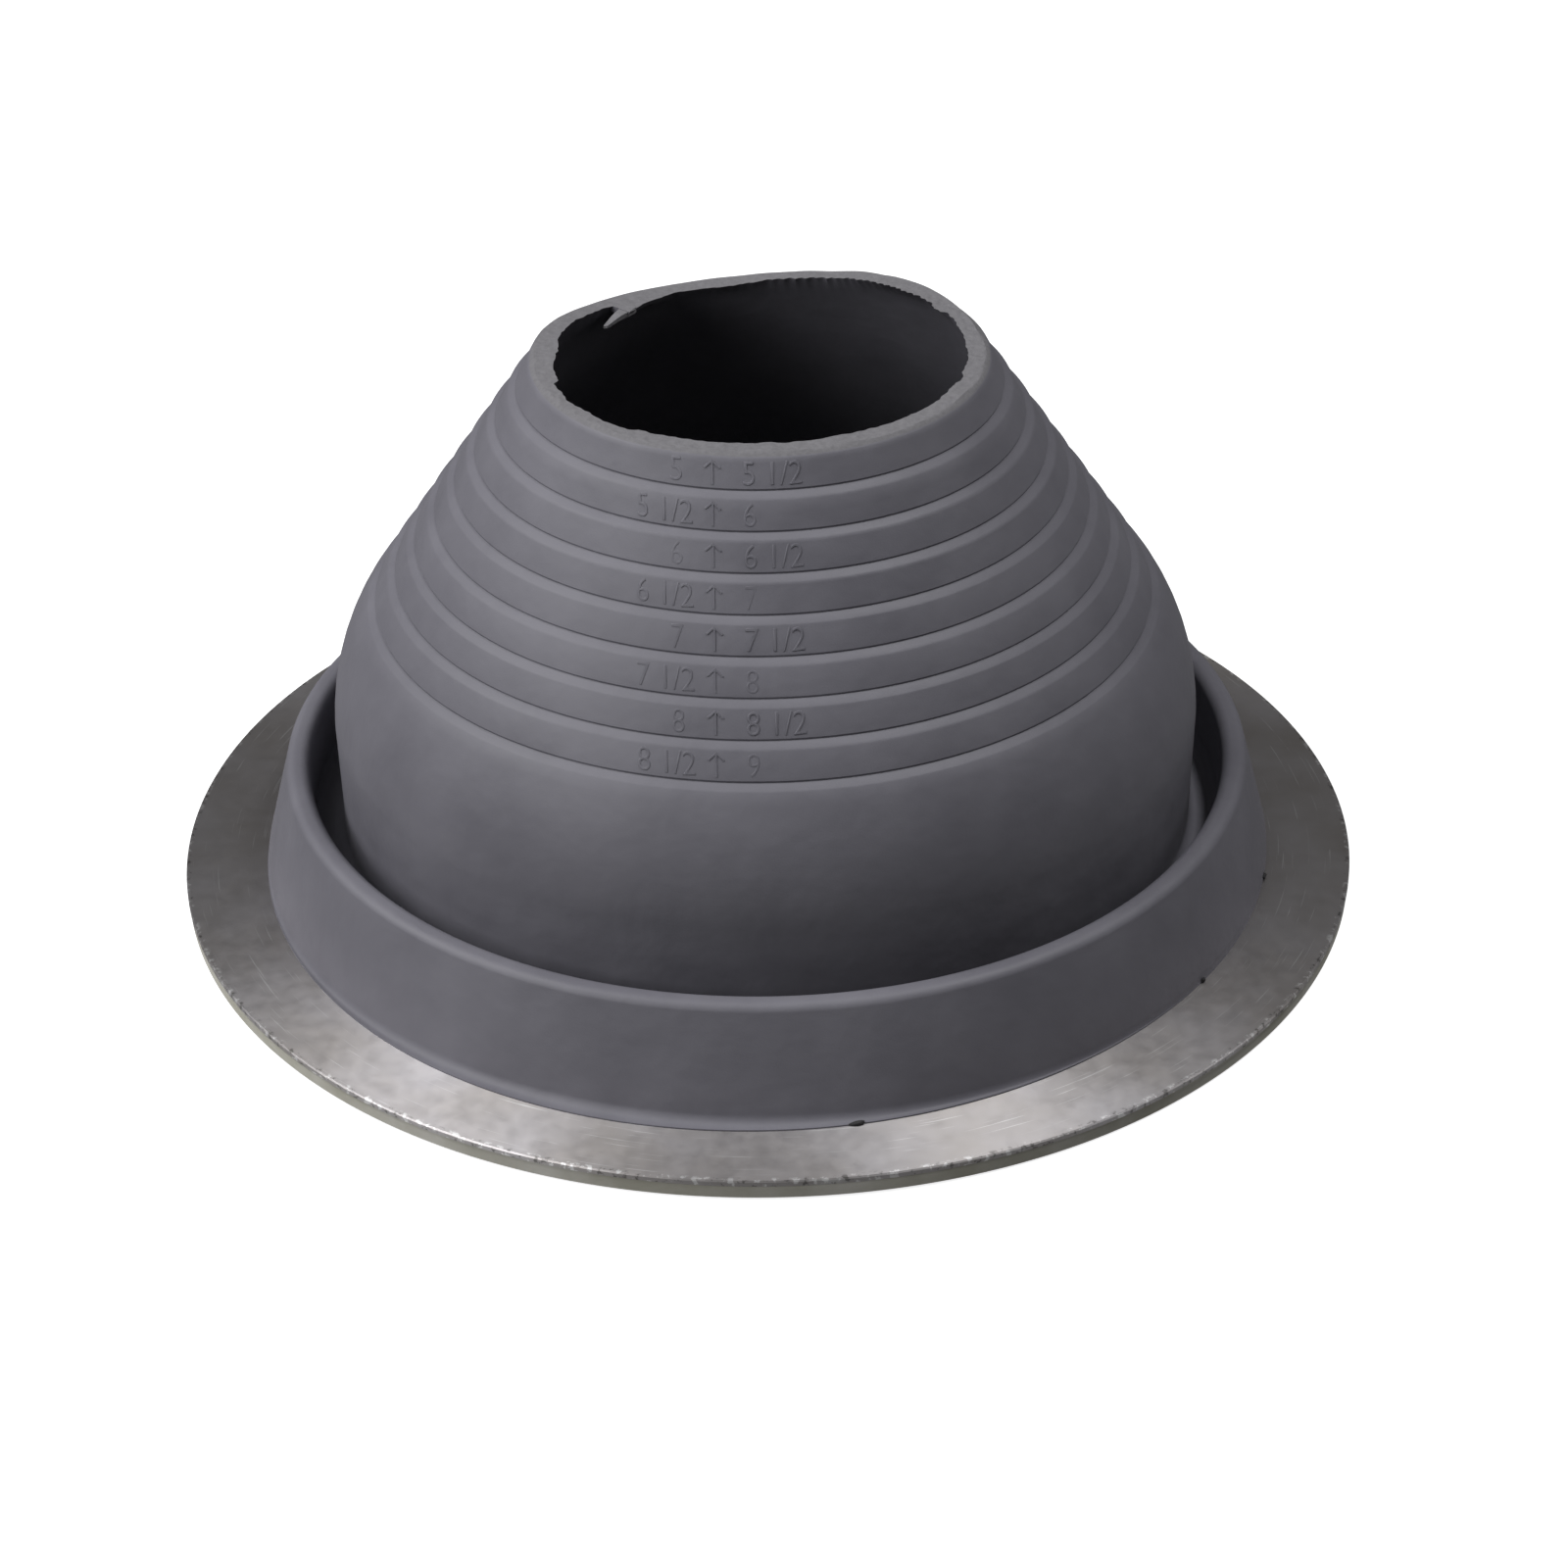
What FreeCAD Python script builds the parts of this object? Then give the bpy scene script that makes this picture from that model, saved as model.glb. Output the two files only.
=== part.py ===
import FreeCAD, Part
import math
import os

import Sketcher

# Pipe flashing boot. A stepped rubber cone is pulled down over a pipe, and a rolled fold at its foot lets it lean
# to the roof's slope. Its flange is a rubber pad under a ring of soft aluminium, which is screwed to the roof.
# Millimetres and degrees. Z runs up along the pipe, the origin is the middle of the flange's underside, and the
# flange lies on z = 0. Radii add up outwards from the cone's lower wall, and heights add up from the roof.

SIZES = {
    # flange, from the roof up
    "pad_thickness": 3.5,  # rubber pad below the metal
    "metal_thickness": 1.5,  # soft aluminium sheet
    "flange_width": 21.5,  # bare metal from the skirt's foot to the edge
    "pad_inset": 0.3,  # how far the pad's edge sits inside the metal's edge
    "edge_round": 0.4,  # worn top edge of the metal
    "ring_bite": 2.5,  # how far the metal's inner edge reaches under the skirt's foot
    "heel_wall": 3.5,  # rubber inside the metal's inner edge
    # sealing grooves in the pad's underside
    "groove_count": 4,
    "groove_width": 3.0,
    "groove_depth": 1.2,
    "groove_pitch": 6.0,
    "groove_margin": 3.5,  # land between the heel and the first groove
    # skirt and rolled fold
    "flash_width": 3.0,  # thin rubber apron that runs out over the metal
    "flash_thickness": 0.4,
    "foot_round": 3.0,  # hollow corner between skirt and apron
    "skirt_spread": 7.5,  # how far the skirt leans out from crest to foot
    "crest_height": 34.0,
    "crest_width": 6.0,
    "crest_flat": 0.4,  # flat that is left between the crest's two roundings
    "slit_width": 1.2,  # narrow end of the slit inside the fold, below the crest
    "fold_wall": 2.6,
    "trough_gap": 6.9,  # from the cone's lower wall to the collar
    "trough_floor": 14.0,
    "trough_flat": 0.4,
    # cone
    "wall_radius": 113.6,  # outside of the cone's lower wall
    "wall_draft": 1.2,  # how far the lower wall draws in towards the trough
    "wall_thickness": 3.6,
    "shoulder_round": 58.0,
    "shoulder_run": 12.1,  # from the last ring's radius out to the lower wall
    "last_ring_height": 79.0,
    "cone_angle": 34.1,  # between the cone's side and its axis
    "ring_count": 9,
    "ring_pitch": 9.89,  # along the cone's side
    "ring_lip": 0.9,  # how far each ring stands out
    "ring_ledge": 2.3,  # width of the ledge above each ring
    "ring_round": 2.0,
    "crease_depth": 0.35,  # fine groove between a ledge and the band above it
    "crease_width": 0.35,
    # torn mouth, which follows the crease of the uppermost ring
    "tear_rise": 0.1,  # how far above that crease the tear runs
    "torn_off": 6.0,  # height of the tip that is missing above the tear's highest point
    "tear_dip": 6.2,  # how much lower the tear runs on its low side
    "tear_dip_side": 110.0,  # where that side is, turned from +X towards +Y
    "tear_dip_reach": 75.0,  # how far the dip spreads to each side
    "tear_peak": 1.8,  # how much higher it runs beside the dip
    "tear_peak_side": 38.0,
    "tear_peak_reach": 42.0,
    "tear_overrun": 12.0,  # how far the torn-off tip reaches past the wall, all round
    # flap of the next ring, left on the mouth's inner edge by the tear
    "flap_side": 121.0,  # where its middle is, turned from +X towards +Y
    "flap_span": 28.0,
    "flap_reach": 3.0,  # how far it stands in from the cone's inner face
    "flap_thickness": 2.2,  # below the lowest point of the tear
}

document = FreeCAD.newDocument("pipe_flashing_boot")
sheet = document.addObject("Spreadsheet::Sheet", "sizes")
for row, (size_name, size) in enumerate(SIZES.items(), start=1):
    sheet.set(f"A{row}", size_name)
    sheet.set(f"B{row}", str(size))
    sheet.setAlias(f"B{row}", size_name)
document.recompute()

# Radii and heights that several outlines share, as formulas over the sheet.
COLLAR_FACE = "(sizes.wall_radius + sizes.trough_gap)"
CREST_MIDDLE = f"({COLLAR_FACE} + sizes.crest_width / 2)"
CREST_FACE = f"({COLLAR_FACE} + sizes.crest_width)"
SKIRT_FOOT = f"({CREST_FACE} + sizes.skirt_spread)"
METAL_EDGE = f"({SKIRT_FOOT} + sizes.flange_width)"
METAL_BORE = f"({SKIRT_FOOT} - sizes.ring_bite)"
HEEL = f"({METAL_BORE} - sizes.heel_wall)"
METAL_TOP = "(sizes.pad_thickness + sizes.metal_thickness)"
LAST_RING_RADIUS = "(sizes.wall_radius - sizes.shoulder_run)"
FROM_INNER_FACE = "(sizes.wall_thickness + sizes.ring_lip / 2)"


def value(owner, formula):
    """What a formula over the size sheet comes to."""
    result = owner.evalExpression(formula)
    return float(getattr(result, "Value", result))


def origin_plane(body, role):
    return next(feature for feature in body.Origin.OriginFeatures if feature.Role == role)


def upright_sketch(body, name):
    """A sketch on the body's own XZ plane: across is the radius, and up is the height above the roof."""
    sketch = body.newObject("Sketcher::SketchObject", name)
    sketch.AttachmentSupport = [(origin_plane(body, "XZ_Plane"), "")]
    sketch.MapMode = "FlatFace"
    return sketch


def pin_point(sketch, geometry, point, across, up):
    """Binds a point's radius and height to formulas, or puts it on an axis where the formula is 0."""
    for kind, formula, axis in (("DistanceX", across, -2), ("DistanceY", up, -1)):
        if formula == "0":
            sketch.addConstraint(Sketcher.Constraint("PointOnObject", geometry, point, axis))
        else:
            size = value(sketch, formula)
            constraint = sketch.addConstraint(Sketcher.Constraint(kind, -1, 1, geometry, point, size))
            sketch.setExpression(f"Constraints[{constraint}]", formula)


def round_corner(sketch, line_in, line_out, corner, enter, leave, across, up, rounding):
    """An arc between two sides that meet at a corner; the corner itself stays as a construction point."""
    mark = sketch.addGeometry(Part.Point(corner), True)
    pin_point(sketch, mark, 1, across, up)
    radius = value(sketch, rounding)
    side_in = (corner - enter).normalize()
    side_out = (leave - corner).normalize()
    turns_left = side_in.cross(side_out).z > 0
    inward = FreeCAD.Vector(-side_in.y, side_in.x, 0) * (radius if turns_left else -radius)
    centre = enter + inward
    ends = (enter, leave) if turns_left else (leave, enter)
    start, stop = (math.atan2(end.y - centre.y, end.x - centre.x) for end in ends)
    if stop < start:
        stop += 2 * math.pi
    circle = Part.Circle(centre, FreeCAD.Vector(0, 0, 1), radius)
    arc = sketch.addGeometry(Part.ArcOfCircle(circle, start, stop))
    arc_in, arc_out = (1, 2) if turns_left else (2, 1)
    sketch.addConstraint(
        [
            Sketcher.Constraint("PointOnObject", mark, 1, line_in),
            Sketcher.Constraint("PointOnObject", mark, 1, line_out),
            Sketcher.Constraint("Tangent", line_in, 2, arc, arc_in),
            Sketcher.Constraint("Tangent", line_out, 1, arc, arc_out),
        ]
    )
    constraint = sketch.addConstraint(Sketcher.Constraint("Radius", arc, radius))
    sketch.setExpression(f"Constraints[{constraint}]", rounding)


def draw_outline(sketch, corners):
    """A closed outline through corners of (radius, height, rounding) formulas; None leaves a corner sharp."""
    spots = [FreeCAD.Vector(value(sketch, across), value(sketch, up), 0) for across, up, _ in corners]
    following = spots[1:] + spots[:1]
    enters, leaves = [], []
    for before, spot, after, (_, _, rounding) in zip(spots[-1:] + spots, spots, following, corners):
        back = (before - spot).normalize()
        ahead = (after - spot).normalize()
        half_turn = (math.pi - back.getAngle(ahead)) / 2
        reach = value(sketch, rounding) * math.tan(half_turn) if rounding else 0
        enters.append(spot + back * reach)
        leaves.append(spot + ahead * reach)
    sides = [
        sketch.addGeometry(Part.LineSegment(leave, enter)) for leave, enter in zip(leaves, enters[1:] + enters[:1])
    ]
    for i, (across, up, rounding) in enumerate(corners):
        if rounding:
            round_corner(
                sketch, sides[i - 1], sides[i], spots[i], enters[i], leaves[i], across, up, rounding
            )
        else:
            sketch.addConstraint(Sketcher.Constraint("Coincident", sides[i - 1], 2, sides[i], 1))
            pin_point(sketch, sides[i], 1, across, up)


def turn(body, kind, name, corners, span="360", side="0"):
    """A solid of revolution about Z, added or cut: a full turn, or a span centred on a side given from +X."""
    sketch = upright_sketch(body, f"{name}_outline")
    draw_outline(sketch, corners)
    upright = FreeCAD.Vector(0, 1, 0)
    sketch.AttachmentOffset = FreeCAD.Placement(FreeCAD.Vector(), FreeCAD.Rotation(upright, value(sketch, side)))
    sketch.setExpression("AttachmentOffset.Rotation.Angle", side)
    feature = body.newObject(kind, name)
    feature.Profile = sketch
    feature.ReferenceAxis = (sketch, ["V_Axis"])
    feature.Midplane = True
    feature.setExpression("Angle", span)
    sketch.Visibility = False
    body.Tip = feature
    return feature


def on_cone(number, along, out):
    """A point by a ring: along runs up the cone's side from the ring's middle, and out stands off the side."""
    travel = f"({number} * sizes.ring_pitch + {along})"
    across = f"({LAST_RING_RADIUS} - {travel} * sin(sizes.cone_angle) + ({out}) * cos(sizes.cone_angle))"
    up = f"(sizes.last_ring_height + {travel} * cos(sizes.cone_angle) + ({out}) * sin(sizes.cone_angle))"
    return across, up


def ring_edge(number):
    return on_cone(number, "-sizes.ring_ledge / 2", "sizes.ring_lip / 2")


def ring_crease(number):
    return on_cone(number, "sizes.ring_ledge / 2", "-sizes.ring_lip / 2 - sizes.crease_depth")


def ring_brink(number):
    return on_cone(number, "sizes.ring_ledge / 2 + sizes.crease_width", "-sizes.ring_lip / 2")


# Outside of the moulding, from the flange's underside round the skirt, the fold and the stepped cone to its tip.
ring_corners = []
for ring in range(SIZES["ring_count"]):
    ring_corners.append((*ring_edge(ring), "sizes.ring_round"))
    ring_corners.append((*ring_crease(ring), None))
    ring_corners.append((*ring_brink(ring), None))

edge_across, edge_up = ring_edge(0)
SHOULDER_HEIGHT = f"{edge_up} - (sizes.wall_radius - ({edge_across})) / tan(sizes.cone_angle)"
PAD_EDGE = f"{METAL_EDGE} - sizes.pad_inset"
FLASH_EDGE = f"{SKIRT_FOOT} + sizes.flash_width"
FLASH_TOP = f"{METAL_TOP} + sizes.flash_thickness"
CREST_ROUND = "(sizes.crest_width - sizes.crest_flat) / 2"
TROUGH_FOOT = "(sizes.wall_radius - sizes.wall_draft)"
TROUGH_ROUND = "(sizes.trough_gap + sizes.wall_draft - sizes.trough_flat) / 2"
TEAR_LEVEL = f"({ring_brink(SIZES['ring_count'] - 1)[1]} + sizes.tear_rise)"
TIP_HEIGHT = f"({TEAR_LEVEL} + sizes.tear_peak + sizes.torn_off)"
TIP_RADIUS = f"({LAST_RING_RADIUS} - ({TIP_HEIGHT} - sizes.last_ring_height) * tan(sizes.cone_angle))"

boot_moulding = document.addObject("PartDesign::Body", "boot_moulding")
turn(
    boot_moulding,
    "PartDesign::Revolution",
    "moulded_outside",
    [
        ("0", "0", None),
        (PAD_EDGE, "0", None),
        (PAD_EDGE, "sizes.pad_thickness", None),
        (METAL_BORE, "sizes.pad_thickness", None),
        (METAL_BORE, METAL_TOP, None),
        (FLASH_EDGE, METAL_TOP, None),
        (FLASH_EDGE, FLASH_TOP, None),
        (SKIRT_FOOT, FLASH_TOP, "sizes.foot_round"),
        (CREST_FACE, "sizes.crest_height", CREST_ROUND),
        (COLLAR_FACE, "sizes.crest_height", CREST_ROUND),
        (COLLAR_FACE, "sizes.trough_floor", TROUGH_ROUND),
        (TROUGH_FOOT, "sizes.trough_floor", TROUGH_ROUND),
        ("sizes.wall_radius", SHOULDER_HEIGHT, "sizes.shoulder_round"),
        *ring_corners,
        (TIP_RADIUS, TIP_HEIGHT, None),
        ("0", TIP_HEIGHT, None),
    ],
)

# Hollow side: the slit up inside the fold, the underside of the trough, and the plain inner face of the cone.
INNER_SHIFT = f"{FROM_INNER_FACE} / cos(sizes.cone_angle)"
INNER_WALL = "(sizes.wall_radius - sizes.wall_thickness)"
INNER_SHOULDER = (
    f"sizes.last_ring_height - ({INNER_WALL} - {LAST_RING_RADIUS} + {INNER_SHIFT}) / tan(sizes.cone_angle)"
)
UNDER_TROUGH = "sizes.trough_floor - sizes.fold_wall"
UNDER_ROUND = f"{TROUGH_ROUND} + sizes.fold_wall"
turn(
    boot_moulding,
    "PartDesign::Groove",
    "hollow_inside",
    [
        ("0", "0", None),
        (HEEL, "0", None),
        (f"{CREST_MIDDLE} + sizes.slit_width / 2", "sizes.crest_height - sizes.fold_wall", None),
        (f"{CREST_MIDDLE} - sizes.slit_width / 2", "sizes.crest_height - sizes.fold_wall", None),
        (f"{COLLAR_FACE} + sizes.fold_wall", UNDER_TROUGH, UNDER_ROUND),
        (f"{TROUGH_FOOT} - sizes.wall_thickness", UNDER_TROUGH, UNDER_ROUND),
        (INNER_WALL, INNER_SHOULDER, "sizes.shoulder_round - sizes.wall_thickness"),
        (f"{TIP_RADIUS} - {INNER_SHIFT}", TIP_HEIGHT, None),
        ("0", TIP_HEIGHT, None),
    ],
)

# Where the boot tore, a flap of the next ring stayed on the inside. It is thicker wall here, up to the lost tip.
FLAP_FOOT = f"({TEAR_LEVEL} - sizes.tear_dip - sizes.flap_thickness)"
FLAP_FOOT_FACE = (
    f"({LAST_RING_RADIUS} - {INNER_SHIFT} - ({FLAP_FOOT} - sizes.last_ring_height) * tan(sizes.cone_angle))"
)
turn(
    boot_moulding,
    "PartDesign::Revolution",
    "torn_flap",
    [
        (f"{FLAP_FOOT_FACE} + sizes.wall_thickness / 2", FLAP_FOOT, None),
        (f"{TIP_RADIUS} - {INNER_SHIFT} + sizes.wall_thickness / 2", TIP_HEIGHT, None),
        (f"{TIP_RADIUS} - {INNER_SHIFT} - sizes.flap_reach", TIP_HEIGHT, None),
        (f"{FLAP_FOOT_FACE} - sizes.flap_reach", FLAP_FOOT, None),
    ],
    span="sizes.flap_span",
    side="sizes.flap_side",
)

# Concentric grooves leave the ribs that seal against the roof and hold the sealant.
for number in range(SIZES["groove_count"]):
    near = f"{HEEL} + sizes.groove_margin + {number} * sizes.groove_pitch"
    far = f"{near} + sizes.groove_width"
    turn(
        boot_moulding,
        "PartDesign::Groove",
        f"sealing_groove_{number + 1}",
        [
            (near, "0", None),
            (far, "0", None),
            (far, "sizes.groove_depth", None),
            (near, "sizes.groove_depth", None),
        ],
    )

# The ring of soft aluminium lies on the pad, with its inner edge held in the slot under the skirt's foot.
base_ring = document.addObject("PartDesign::Body", "base_ring")
turn(
    base_ring,
    "PartDesign::Revolution",
    "flat_ring",
    [
        (METAL_BORE, "sizes.pad_thickness", None),
        (METAL_EDGE, "sizes.pad_thickness", None),
        (METAL_EDGE, METAL_TOP, "sizes.edge_round"),
        (METAL_BORE, METAL_TOP, None),
    ],
)
document.recompute()


def swell(angle, side, reach):
    """A smooth rise from 0 to 1 and back, centred on one side of the mouth."""
    off_side = abs((angle - side + 180) % 360 - 180)
    return (1 + math.cos(math.pi * min(off_side / reach, 1))) / 2


def tear_height(angle):
    """Height of the torn edge at an angle from +X: level, with one broad dip and a low peak beside it."""
    level = value(sheet, TEAR_LEVEL)
    dip = sheet.tear_dip * swell(angle, sheet.tear_dip_side, sheet.tear_dip_reach)
    peak = sheet.tear_peak * swell(angle, sheet.tear_peak_side, sheet.tear_peak_reach)
    return level - dip + peak


def tear_line(radius):
    """The torn edge's height drawn round a circle, as one smooth closed curve."""
    points = []
    for angle in range(0, 360, 10):
        turned = math.radians(angle)
        points.append(FreeCAD.Vector(radius * math.cos(turned), radius * math.sin(turned), tear_height(angle)))
    curve = Part.BSplineCurve()
    curve.interpolate(Points=points, PeriodicFlag=True)
    return curve.toShape()


# The tip that was torn off with the smallest rings: everything above the torn edge.
tip_height = value(sheet, TIP_HEIGHT)
lowest_tear = value(sheet, f"{TEAR_LEVEL} - sizes.tear_dip")
mouth_radius = value(sheet, f"{TIP_RADIUS} - {INNER_SHIFT}")
widest_tear = value(sheet, f"{TIP_RADIUS} + ({TIP_HEIGHT} - {TEAR_LEVEL} + sizes.tear_dip) * tan(sizes.cone_angle)")
torn_surface = Part.makeRuledSurface(
    tear_line(mouth_radius - sheet.tear_overrun), tear_line(widest_tear + sheet.tear_overrun)
)
torn_off_tip = document.addObject("Part::Feature", "torn_off_tip")
torn_off_tip.Shape = torn_surface.extrude(
    FreeCAD.Vector(0, 0, tip_height - lowest_tear + sheet.tear_overrun)
)
torn_off_tip.Placement = FreeCAD.Placement()

rubber_boot = document.addObject("Part::Cut", "rubber_boot")
rubber_boot.Base = boot_moulding
rubber_boot.Tool = torn_off_tip
document.recompute()

SUB_PARTS = {"rubber_boot": rubber_boot, "base_ring": base_ring}
for name, item in SUB_PARTS.items():
    item.Label = name
    item.Placement = FreeCAD.Placement()
document.recompute()

for item in document.Objects:
    if "Invalid" in item.State or "Error" in item.State:
        raise RuntimeError(f"{item.Name} failed: {item.State}")
for name, item in SUB_PARTS.items():
    if item.Shape.isNull() or not item.Shape.isValid():
        raise RuntimeError(f"{name} has no valid shape")
    if len(item.Shape.Solids) != 1:
        raise RuntimeError(f"{name} has {len(item.Shape.Solids)} solids, not 1")

os.makedirs("parts", exist_ok=True)
for name, item in SUB_PARTS.items():
    item.Shape.exportStep(f"parts/{name}.step")
    print(name, "volume", round(item.Shape.Volume), "mm3", item.Shape.BoundBox)
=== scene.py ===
import math

import bpy
from mathutils import Matrix, Vector, noise


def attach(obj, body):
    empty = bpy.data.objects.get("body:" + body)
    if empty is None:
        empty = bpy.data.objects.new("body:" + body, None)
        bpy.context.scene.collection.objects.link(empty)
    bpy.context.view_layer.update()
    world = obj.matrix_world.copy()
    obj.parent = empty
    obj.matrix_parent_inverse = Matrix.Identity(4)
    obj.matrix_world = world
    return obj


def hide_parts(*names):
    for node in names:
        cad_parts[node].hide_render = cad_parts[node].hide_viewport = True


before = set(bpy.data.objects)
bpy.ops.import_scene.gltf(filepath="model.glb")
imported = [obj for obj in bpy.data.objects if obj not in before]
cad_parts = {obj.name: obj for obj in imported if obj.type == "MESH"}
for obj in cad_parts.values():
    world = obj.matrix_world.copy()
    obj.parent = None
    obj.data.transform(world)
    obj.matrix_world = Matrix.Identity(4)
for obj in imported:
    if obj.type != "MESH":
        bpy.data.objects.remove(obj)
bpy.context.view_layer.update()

# Rubber boot: one moulding of EPDM rubber, from the ribbed pad under the flange to the torn mouth. Its
# outline is cut from the solid and spun in finer steps. The mouth is then worked: a rough level face, a
# nicked inner edge, and a flap of the next ring that the tear left hanging. Lengths are in mm, and sides in
# degrees from +X.
MM = 0.001
BOOT_STEPS = 560
SMOOTH_ANGLE = math.radians(32)
LAST_RING_RADIUS = 101.5
LAST_RING_HEIGHT = 79.0
CONE_ANGLE = math.radians(34.1)
CONE_WALL = 4.05
INNER_SHIFT = CONE_WALL / math.cos(CONE_ANGLE)
WALL_MARGIN = 2
MOUTH_RADIUS = 52
TEAR_LEVEL = 144.77
TEAR_DIP, DIP_SIDE, DIP_REACH = 6.2, 110.0, 75.0
TEAR_PEAK, PEAK_SIDE, PEAK_REACH = 1.8, 38.0, 42.0
TEAR_RIPPLE, RIPPLE_LENGTH, RIPPLE_RADIUS = 0.15, 9.0, 55
TORN_ROUGHNESS, TORN_LUMP, TORN_SLOPE = 0.2, 1.6, 0.8
WORKED_DEPTH = 13.0
INNER_ROWS = (0.5, 1.2, 2.0, 3.0, 4.5, 8.0, WORKED_DEPTH)
TORN_ROWS = 6
FLAP_START, FLAP_END, FLAP_REACH = 112.0, 133.5, 6.3
FLAP_THICKNESS = 2.2
LEDGE_TOP = 137.6
LIP_START, LIP_END, LIP_TOP, LIP_FOOT = 133.4, 136.95, 7.7, 4.9
LIP_SIDE, LIP_SPREAD = 250.0, 80.0
LEAST_LIP, ADDED_LIP = 0.05, 0.95
PAD_TOP, PAD_RIM = 3.5, 155.1
LOBES = ((2.1, 44, 30), (1.5, 100, 20), (1.1, 176, 16))
LOBE_DEPTH = 4
STEP_START, STEP_END, STEP_REACH = 22.5, 27.5, 0.9
BITE_START, BITE_END, BITE_DEPTH = 197.0, 236.0, 1.9
BITE_IN, BITE_OUT = 1.5, 2.5
NICK_PITCH, NICK_WANDER, WANDER_LENGTH = 2.5, 1.3, 12.0
DEEP_NICK, DEEP_SIDE, DEEP_SPREAD, DEEP_GAIN = 0.75, 55, 55, 1.6
LOW_NICK, LOW_SIDE, LOW_SPREAD = 0.2, 340, 50
FINE_ROUGH, FINE_LENGTH = 0.22, 2.2
BROAD_ROUGH, BROAD_LENGTH = 0.3, 7.0


def srgb(code):
    """A colour written as sRGB hex, as the linear values that a shader socket takes."""
    parts = [int(code[i : i + 2], 16) / 255 for i in (0, 2, 4)]
    linear = [p / 12.92 if p <= 0.04045 else ((p + 0.055) / 1.055) ** 2.4 for p in parts]
    return (*linear, 1.0)


def grey(level):
    """One level for all three channels, where a ramp's colour is read as a number."""
    return (level, level, level, 1.0)


def add(tree, kind, values=None, stops=(), **settings):
    """A shader node with its settings and colour stops, and its sockets set or linked to other nodes."""
    node = tree.nodes.new(kind)
    for name, setting in settings.items():
        setattr(node, name, setting)
    for socket, given in (values or {}).items():
        if isinstance(given, bpy.types.NodeSocket):
            tree.links.new(given, node.inputs[socket])
        else:
            node.inputs[socket].default_value = given
    for index, (position, colour) in enumerate(stops):
        node.color_ramp.elements[index].position = position
        node.color_ramp.elements[index].color = colour
    return node


def new_material(name):
    """A material with its output and principled shader, and the object's own coordinates in mm."""
    material = bpy.data.materials.new(name)
    material.use_nodes = True
    tree = material.node_tree
    tree.nodes.clear()
    surface = add(tree, "ShaderNodeBsdfPrincipled")
    output = add(tree, "ShaderNodeOutputMaterial")
    tree.links.new(surface.outputs["BSDF"], output.inputs["Surface"])
    place = add(tree, "ShaderNodeTexCoord").outputs["Object"]
    in_mm = add(tree, "ShaderNodeVectorMath", {0: place, 3: 1 / MM}, operation="SCALE").outputs[0]
    return material, tree, surface, in_mm


# EPDM rubber, moulded: matt dark grey with a trace of violet. A soft bloom shows in patches about 33 mm wide,
# and waves of 8 mm bend its light a little. The mould's grain is drawn 0.45 mm wide, coarser than a real one,
# so that it shows.
PATCHES_PER_MM, WAVES_PER_MM, GRAINS_PER_MM = 0.03, 0.12, 2.2
epdm, tree, surface, in_mm = new_material("epdm_rubber")
patches = add(
    tree, "ShaderNodeTexNoise", {"Vector": in_mm, "Scale": PATCHES_PER_MM, "Detail": 3.0, "Roughness": 0.6}
).outputs["Fac"]
tone = add(tree, "ShaderNodeValToRGB", {"Fac": patches}, [(0.3, srgb("59585f")), (0.7, srgb("636269"))])
shine = add(tree, "ShaderNodeValToRGB", {"Fac": patches}, [(0.3, grey(0.52)), (0.7, grey(0.62))])
grain = add(
    tree, "ShaderNodeTexNoise", {"Vector": in_mm, "Scale": GRAINS_PER_MM, "Detail": 3.0, "Roughness": 0.6}
).outputs["Fac"]
waves = add(
    tree, "ShaderNodeTexNoise", {"Vector": in_mm, "Scale": WAVES_PER_MM, "Detail": 2.0, "Roughness": 0.5}
).outputs["Fac"]
grain_bump = add(tree, "ShaderNodeBump", {"Height": grain, "Strength": 0.25, "Distance": 0.1 * MM}).outputs[0]
rubber_bump = add(
    tree,
    "ShaderNodeBump",
    {"Height": waves, "Strength": 0.3, "Distance": 1.0 * MM, "Normal": grain_bump},
)
tree.links.new(tone.outputs["Color"], surface.inputs["Base Color"])
tree.links.new(shine.outputs["Color"], surface.inputs["Roughness"])
tree.links.new(rubber_bump.outputs[0], surface.inputs["Normal"])
surface.inputs["Specular IOR Level"].default_value = 0.35

# Torn EPDM rubber: the same rubber where it was ripped through, lighter, rough and without bloom. Its torn
# fibres are about 1 mm apart.
FIBRES_PER_MM = 0.9
torn, tree, surface, in_mm = new_material("torn_epdm_rubber")
fibres = add(
    tree, "ShaderNodeTexNoise", {"Vector": in_mm, "Scale": FIBRES_PER_MM, "Detail": 4.0, "Roughness": 0.65}
).outputs["Fac"]
tone = add(tree, "ShaderNodeValToRGB", {"Fac": fibres}, [(0.3, srgb("5d5c5f")), (0.7, srgb("69686b"))])
rip = add(tree, "ShaderNodeBump", {"Height": fibres, "Strength": 0.5, "Distance": 0.3 * MM})
tree.links.new(tone.outputs["Color"], surface.inputs["Base Color"])
tree.links.new(rip.outputs[0], surface.inputs["Normal"])
surface.inputs["Roughness"].default_value = 0.8
surface.inputs["Specular IOR Level"].default_value = 0.3
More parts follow.
